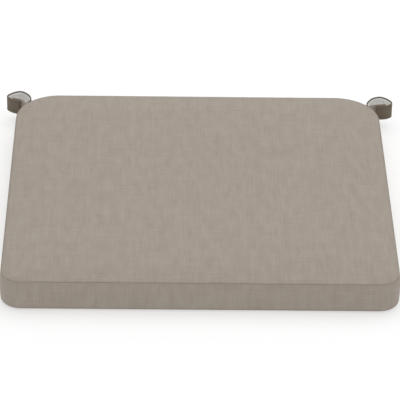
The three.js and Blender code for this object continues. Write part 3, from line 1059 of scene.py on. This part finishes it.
@dataclass
class Stuffing:
    """The foam core and the wadding above and below it."""

    plan: Plan
    foam: Material
    wadding: Material
    headroom: float = 3.4 * MM
    thin_side: float = 1.6 * MM

    def build(self) -> None:
        """Builds the three layers inside the cover."""
        self._layer("foam_core", self.foam, 3.0 * MM, 0.5 * MM)
        self._layer("batting_bottom", self.wadding, 1.2 * MM, 0.5 * MM)
        self._layer("batting_top", self.wadding, 1.2 * MM, 4.0 * MM)

    def _layer(self, node: str, material: Material, edge: float, clear: float) -> None:
        """Builds one layer.

        Args:
            node: The CAD node that it stands for.
            material: Its material.
            edge: From its top and bottom to the edges of its side.
            clear: How far its side stands inside the CAD's.
        """
        low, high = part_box(node)
        inset = self.plan.front / 2 - high[0]
        high_edge = high[2] - edge if node != "batting_top" else low[2] + self.thin_side
        low_edge = low[2] + edge if node != "batting_bottom" else high[2] - self.thin_side
        layer = Layer(low_edge, high_edge, high[2] - self.headroom - high_edge, low_edge - low[2])
        rows = (low_edge, (low_edge + high_edge) / 2, high_edge)
        form = PadForm(self.plan, inset + clear, rows, layer.crown, layer.dish, self._pinch)
        obj = as_object(node + "_layer", form.build(), material, 60.0)
        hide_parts(node)
        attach(obj, "pad")
        log.info("filling %s", node)

    def _pinch(self, z: float, edge: Vector) -> float:
        """Draws the layer's side in behind each rear corner seam."""
        away = min(math.dist(edge.xy, self.plan.corners[i].middle.xy) for i in REAR_SEAM.values())
        return -6.5 * MM * math.exp(-((away / (5 * MM)) ** 2))


# ---------------------------------------------------------------- straps


class Path:
    """A smooth path in plan through points: a centripetal Catmull-Rom curve, read by length."""

    def __init__(self, points: Sequence[Vector], steps: int = 60) -> None:
        """Draws the path through the points, with some steps between each two."""
        ends = [points[0] * 2 - points[1], *points, points[-1] * 2 - points[-2]]
        self.dots = [points[0]]
        for a, b, c, d in zip(ends, ends[1:], ends[2:], ends[3:]):
            gaps = [(q - p).length ** 0.5 for p, q in ((a, b), (b, c), (c, d))]
            leave = ((b - a) / gaps[0] - (c - a) / (gaps[0] + gaps[1]) + (c - b) / gaps[1]) * gaps[1]
            reach = ((c - b) / gaps[1] - (d - b) / (gaps[1] + gaps[2]) + (d - c) / gaps[2]) * gaps[1]
            for k in range(1, steps + 1):
                t = k / steps
                cubic = (b - c) * 2 + leave + reach
                square = (c - b) * 3 - leave * 2 - reach
                self.dots.append(b + leave * t + square * t**2 + cubic * t**3)
        self.runs = [0.0]
        for before, after in zip(self.dots, self.dots[1:]):
            self.runs.append(self.runs[-1] + (after - before).length)
        self.length = self.runs[-1]

    def at(self, along: float) -> tuple[Vector, Vector]:
        """The place and the direction at a length along the path, which runs on straight before its start."""
        if along <= 0:
            way = (self.dots[1] - self.dots[0]).normalized()
            return self.dots[0] + way * along, way
        i = max(min(bisect.bisect_right(self.runs, along) - 1, len(self.dots) - 2), 0)
        share = (along - self.runs[i]) / (self.runs[i + 1] - self.runs[i])
        way = self.dots[min(i + 2, len(self.dots) - 1)] - self.dots[max(i - 1, 0)]
        return self.dots[i].lerp(self.dots[i + 1], share), way.normalized()


@dataclass(frozen=True)
class Ply:
    """One cloth or tape of a strap, with its finish, its slot in the record and its section."""

    material: Material
    slot: str
    width: float
    thickness: float
    inside: float = 0.0


@dataclass
class StrapLoop:
    """One rear corner's hook-and-loop strap, closed on its tab, with its pile linings and stitching."""

    side: Side
    plan: Plan
    webbing: Material
    cover: Material
    pile: Material
    hooks: Material
    thread: Material
    width: float = 22 * MM
    thickness: float = 1.4 * MM
    tape: float = 1.0 * MM
    gap: float = 0.3 * MM
    reach: float = 41 * MM
    bulge: float = 13.5 * MM
    lean: float = math.radians(-9)
    bends: tuple[float, float] = (42 * MM, 64 * MM)
    overlap: float = 14 * MM
    sewn_in: float = 11.5 * MM
    margin: float = 1.5 * MM
    shape: tuple[Span, ...] = (
        (0.27, 0.62),
        (0.6, 1.0),
        (0.91, 0.7),
        (1.0, -0.1),
        (0.93, -0.93),
        (0.74, -1.0),
        (0.4, -0.5),
    )

    @property
    def turned(self) -> int:
        """Which way round the loop runs: the sign of its corner's X."""
        return self.side.value

    def build(self) -> None:
        """Builds the strap in three lengths that meet end to end, and the tab."""
        narrow = self.width - 2 * self.margin
        # The strap and the tab share the strap fabric. The strap's cloth is drawn much darker than the tab's,
        # partly its own tone and partly painted shade.
        web = Ply(self.webbing, "strap_fabric", self.width, self.thickness)
        lining = Ply(self.pile, "loop_tape", narrow, self.tape, self._inner)
        tongue = Ply(self.cover, "strap_fabric", self.width, self.thickness)
        patch = Ply(self.hooks, "hook_tape", narrow, self.tape, -self._inner)
        path = self._strap_path()
        tab = self._tab_path(path)
        word, end = self.side.word, path.length
        cuts = [-self.sewn_in, self.bends[0] * 0.6, (self.bends[0] + self.bends[1]) / 2, end]
        bodies = ["pad", f"strap_wall_{word}", f"strap_turn_{word}", f"strap_grip_{word}"]
        joints = [0.6 * MM, *self.bends]
        reach = [2.0 * MM, 4 * MM, 4 * MM]
        for i, part in enumerate(("wall", "turn", "grip")):
            before, after = (path.at(joints[i] + way * reach[i])[0] for way in (-1, 1))
            bend = (bodies[i], bodies[i + 1], before, after)
            start, stop = cuts[i], cuts[i + 1]
            nodes = [f"strap_{part}_{word}"] + ([f"strap_end_rear_{word}"] if i == 0 else [])
            self._length(f"strap_{part}_cloth_{word}", path, (start, stop), web, nodes)
            span = (max(start, 5.2 * MM), min(stop, end - 1.6 * MM))
            self._length(f"strap_{part}_pile_{word}", path, span, lining, [f"loop_tape_{part}_{word}"])
            span = (max(start, 4 * MM), stop - 1.0 * MM)
            self._stitch(f"strap_{part}_thread_{word}", path, span, last=i == 2)
        bend = ("pad", f"tab_{word}", tab.at(-1.0 * MM)[0], tab.at(3.0 * MM)[0])
        nodes = [f"tab_{word}", f"strap_end_front_{word}"]
        self._length(f"tab_cloth_{word}", tab, (-self.sewn_in, tab.length), tongue, nodes)
        span = (tab.length - self.overlap, tab.length - self.margin)
        self._length(f"tab_hooks_{word}", tab, span, patch, [f"hook_tape_{word}"])
        log.info("strap loop %s", word)

    @property
    def _inner(self) -> float:
        """From the middle of the strap's cloth to the middle of its lining."""
        return self.thickness / 2 + self.gap + self.tape / 2

    def _placed(self, points: Iterable[Span]) -> list[Vector]:
        """Moves points from the corner seam's own frame to the pad's."""
        corner = self.plan.corners[REAR_SEAM[self.side]]
        angle = corner.start + corner.turn / 2
        low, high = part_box(f"strap_wall_{self.side.word}")
        height = (low[2] + high[2]) / 2
        out, along = facing(angle), facing(angle + math.pi / 2)
        return [corner.middle + out * x + along * y + Vector((0, 0, height)) for x, y in points]

    def _strap_path(self) -> Path:
        """The long strap's path, from its sewn end round to its free end over the tab."""
        ply = self.turned * (self.gap + self.thickness) / 2
        leant = []
        for x, y in self.shape:
            spot = Vector((x * self.reach, self.turned * y * self.bulge))
            spot.rotate(Matrix.Rotation(self.lean, 2))
            leant.append((spot.x, spot.y))
        return Path(self._placed([(3.0 * MM, ply), (5.8 * MM, ply), *leant]))

    def _tab_path(self, path: Path) -> Path:
        """The tab's path, from its sewn end to the inside of the strap's free end."""
        ply = -self.turned * (self.gap + self.thickness) / 2
        inside = self.thickness + 2 * (self.tape + self.gap) + 0.5 * MM
        start = self._placed([(3.0 * MM, ply), (5.8 * MM, ply)])
        backs = (0.0, self.overlap / 2, self.overlap)
        return Path([*start, *(self._beside(path, path.length - back, inside) for back in backs)])

    def _inward(self, way: Vector) -> Vector:
        """The level direction from a path into its loop."""
        return Vector((way.y, -way.x, 0.0)) * self.turned

    def _beside(self, path: Path, along: float, inside: float) -> Vector:
        """A place beside a path, to the loop's inside."""
        place, way = path.at(along)
        return place + self._inward(way) * inside

    def _length(
        self, name: str, path: Path, span: Span, ply: Ply, nodes: Sequence[str]
    ) -> None:
        """Builds one length of cloth or tape along a path.

        Args:
            name: The piece's name.
            path: What it follows.
            span: Where it starts and stops along the path.
            ply: The cloth or tape.
            nodes: The CAD nodes it stands for.
        """
        count = max(int((span[1] - span[0]) / (0.7 * MM)), 6)
        stations = []
        for k in range(count + 1):
            along = span[0] + (span[1] - span[0]) * k / count
            _, way = path.at(along)
            free = smooth(along / (9 * MM))
            sway = math.sin(along * 210.0 + self.turned) * 0.25 * MM * free
            place = self._beside(path, along, ply.inside) + Vector((0, 0, sway))
            stations.append((place, self._inward(way), Vector((0, 0, 1))))
        ring = rounded_bar(ply.width, ply.thickness, min(ply.thickness * 0.42, 0.5 * MM))
        obj = swept(name, stations, ring, ply.material)
        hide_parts(*nodes)
        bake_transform(obj)

    def _stitch(self, name: str, path: Path, span: Span, last: bool) -> None:
        """Sews both edges of a length of strap, and across its free end.

        Args:
            name: The piece's name.
            path: What it follows.
            span: Where the rows start and stop.
            last: Whether this is the free end.
        """
        outside = -self.thickness / 2 - 0.05 * MM
        edge = self.width / 2 - 2.2 * MM
        up = Vector((0, 0, 1))
        marks = []
        for k in range(int((span[1] - span[0]) / STITCH_STEP)):
            along = span[0] + (k + 0.5) * STITCH_STEP
            _, way = path.at(along)
            for z in (-edge, edge):
                marks.append((self._beside(path, along, outside) + up * z, way, -self._inward(way)))
        if last:
            along = span[1] - 1.6 * MM
            _, way = path.at(along)
            middle = self._beside(path, along, outside)
            marks += [(middle + up * k * STITCH_STEP, up, -self._inward(way)) for k in range(-2, 3)]
        obj = stitches(name, marks, self.thread)
        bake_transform(obj)


# ---------------------------------------------------------------- zip


@dataclass
class Zip:
    """The coils of the zip across the back, and the stitching beside them."""

    coil: Material
    thread: Material
    pitch: float = 1.5 * MM
    wire: float = 0.32 * MM
    steps: int = 8

    def build(self) -> None:
        """Builds both coils and the hem stitching of both flaps."""
        for name, sign in (("upper", 1), ("lower", -1)):
            low, high = (Vector(corner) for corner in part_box(f"zip_coil_{name}"))
            obj = self._coil(f"zip_teeth_{name}", low, high, sign)
            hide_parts(f"zip_coil_{name}")
            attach(obj, "pad")
            self._hem(name, sign)
        log.info("zip")

    def _coil(self, name: str, low: Vector, high: Vector, sign: int) -> Piece:
        """One coil: a filament wound in flattened turns that reach to the closing line."""
        middle, half = (low + high) / 2, (high - low) / 2
        count = int((high.x - low.x) / self.pitch) * self.steps
        wire = self.wire
        stations = []
        for k in range(count):
            angle = 2 * math.pi * k / self.steps
            out = Vector((0, math.cos(angle), math.sin(angle) * sign))
            x = low.x + wire + (high.x - low.x - 2 * wire) * k / count
            y = middle.y + (half.y - wire) * math.cos(angle)
            z = middle.z + (half.z - wire) * math.sin(angle) * sign
            stations.append((Vector((x, y, z)), out, Vector((1, 0, 0))))
        ring = [(wire * math.cos(math.pi * k / 3), wire * math.sin(math.pi * k / 3)) for k in range(6)]
        return swept(name, stations, ring, self.coil)

    def _hem(self, name: str, sign: int) -> None:
        """Topstitches the flap's folded edge beside the slot."""
        low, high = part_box(f"boxing_rear_{name}")
        z = (low[2] if sign > 0 else high[2]) + sign * 3.2 * MM
        count = int((high[0] - low[0] - 6 * MM) / STITCH_STEP)
        marks = []
        for k in range(count):
            x = low[0] + 4.5 * MM + k * STITCH_STEP
            marks.append((Vector((x, high[1] + 0.32 * MM, z)), Vector((1, 0, 0)), Vector((0, 1, 0))))
        obj = stitches(f"hem_thread_{name}", marks, self.thread)
        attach(obj, "pad")


# ---------------------------------------------------------------- studio


@dataclass(frozen=True)
class Softbox:
    """A square area light, aimed at the pad."""

    name: str
    place: tuple[float, float, float]
    size: float
    power: float


@dataclass
class Studio:
    """A plain pale floor, soft lights and the camera."""

    target: Vector = field(default_factory=lambda: Vector((0.0, 0.0, 22 * MM)))
    elevation: float = math.radians(32.0)
    azimuth: float = math.radians(-1.05)
    roll: float = math.radians(1.07)
    distance: float = 4.051
    lens: float = 274.7
    shift: Span = (0.003, -0.005)
    floor_grey: float = 0.55
    floor_glow: float = 0.46
    surround: float = 0.715
    lights: tuple[Softbox, ...] = (
        Softbox("overhead", (0.25, 0.5, 2.2), 2.4, 22.2),
        Softbox("front", (0.5, -2.6, 1.4), 2.0, 0.6),
    )

    def build(self) -> None:
        """Builds the stage."""
        self._floor()
        self._lights()
        self._camera()
        log.info("studio")

    def _floor(self) -> None:
        """A wide pale floor."""
        bm = bmesh.new()
        bmesh.ops.create_grid(bm, x_segments=1, y_segments=1, size=12.0)
        g = Graph("floor")
        g.set(Base_Color=(*[self.floor_grey] * 3, 1.0), Roughness=0.9, Specular_IOR_Level=0.1)
        g.set(Emission_Color=(1.0, 1.0, 1.0, 1.0), Emission_Strength=self.floor_glow)
        floor = as_object("floor", bm, g.material)
        floor.location.z = -0.5 * MM

    def _lights(self) -> None:
        """A pale surround, a broad light overhead and a weaker one from the front."""
        scene = bpy.context.scene
        scene.view_settings.view_transform = "Standard"
        world = bpy.data.worlds.new("surround")
        world.use_nodes = True
        background = world.node_tree.nodes["Background"]
        background.inputs["Color"].default_value = (1.0, 1.0, 1.0, 1.0)
        background.inputs["Strength"].default_value = self.surround
        scene.world = world
        for softbox in self.lights:
            data = bpy.data.lights.new(softbox.name, "AREA")
            data.size = softbox.size
            data.energy = softbox.power
            light = bpy.data.objects.new(softbox.name, data)
            light.location = softbox.place
            light.rotation_euler = (self.target - light.location).to_track_quat("-Z", "Y").to_euler()
            scene.collection.objects.link(light)

    def _camera(self) -> None:
        """The camera, a little above the pad's front edge and far off."""
        data = bpy.data.cameras.new("camera")
        data.lens = self.lens
        data.clip_end = 50.0
        data.shift_x, data.shift_y = self.shift
        camera = bpy.data.objects.new("camera", data)
        level = math.cos(self.elevation)
        x, y = level * math.sin(self.azimuth), -level * math.cos(self.azimuth)
        way = Vector((x, y, math.sin(self.elevation)))
        camera.location = self.target + way * self.distance
        turn = (-way).to_track_quat("-Z", "Y").to_matrix()
        camera.rotation_euler = (turn @ Matrix.Rotation(self.roll, 3, "Z")).to_euler()
        bpy.context.scene.collection.objects.link(camera)
        bpy.context.scene.camera = camera


def dress(materials: dict[str, Material]) -> None:
    """Gives the CAD pieces that stay on show their procedural finishes."""
    finishes = {
        "corner_seam": "cover",
        "seam_allowance": "cover",
        "zip_tape": "twill",
        "zip_s": "metal",
        "zip_pull": "metal",
    }
    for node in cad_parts:
        for start, finish in finishes.items():
            if node.startswith(start):
                bpy.data.objects[node].material_slots[0].material = materials[finish]


def main() -> None:
    """Builds the pad, its straps and its zip in order, and the stage round them."""
    logging.basicConfig(level=logging.INFO, format="%(message)s")
    finishes = {
        "cover": WovenCloth("taupe_cloth", (0.3, 0.255, 0.212), (0.372, 0.322, 0.272), (0.442, 0.388, 0.332)),
        # The webbing's dark tone is partly the strap's own colour and partly painted shade.
        "webbing": TapeCloth("strap_webbing", (0.11, 0.087, 0.062), (0.19, 0.152, 0.115)),
        "pile": TapeCloth("loop_pile", (0.78, 0.77, 0.75), (0.97, 0.96, 0.94), ribs=0.1, nap=1.0, sheen=0.3),
        "hooks": TapeCloth("hook_pile", (0.45, 0.44, 0.42), (0.74, 0.73, 0.7), 0.9 * MM, ribs=0.5, nap=0.6),
        "twill": TapeCloth("zip_twill", (0.15, 0.125, 0.1), (0.27, 0.23, 0.19), rib=0.6 * MM),
        "thread": Hard("thread", (0.33, 0.285, 0.245), (0.43, 0.375, 0.33), 0.0, 0.6),
        "dark_thread": Hard("dark_thread", (0.12, 0.095, 0.07), (0.2, 0.16, 0.12), 0.0, 0.6),
        "nylon": Hard("coil_nylon", (0.17, 0.14, 0.115), (0.25, 0.215, 0.18), 0.0, 0.4),
        "metal": Hard("zip_metal", (0.28, 0.26, 0.235), (0.4, 0.375, 0.345), 0.9, 0.35),
        "foam": Filling("foam", (0.62, 0.56, 0.4), (0.85, 0.8, 0.64), 1400.0, 0.3 * MM),
        "wadding": Filling("wadding", (0.75, 0.75, 0.73), (0.93, 0.93, 0.91), 900.0, 0.4 * MM, fibre=0.15),
    }
    materials = {name: finish.material() for name, finish in finishes.items()}
    plan = Plan()
    dress(materials)
    Stuffing(plan, materials["foam"], materials["wadding"]).build()
    Cover(plan, materials["cover"]).build()
    Zip(materials["nylon"], materials["thread"]).build()
    strap_finishes = [materials[name] for name in ("webbing", "cover", "pile", "hooks", "dark_thread")]
    for side in Side:
        StrapLoop(side, plan, *strap_finishes).build()
    Studio().build()
    bpy.context.view_layer.update()


if __name__ == "__main__":
    main()
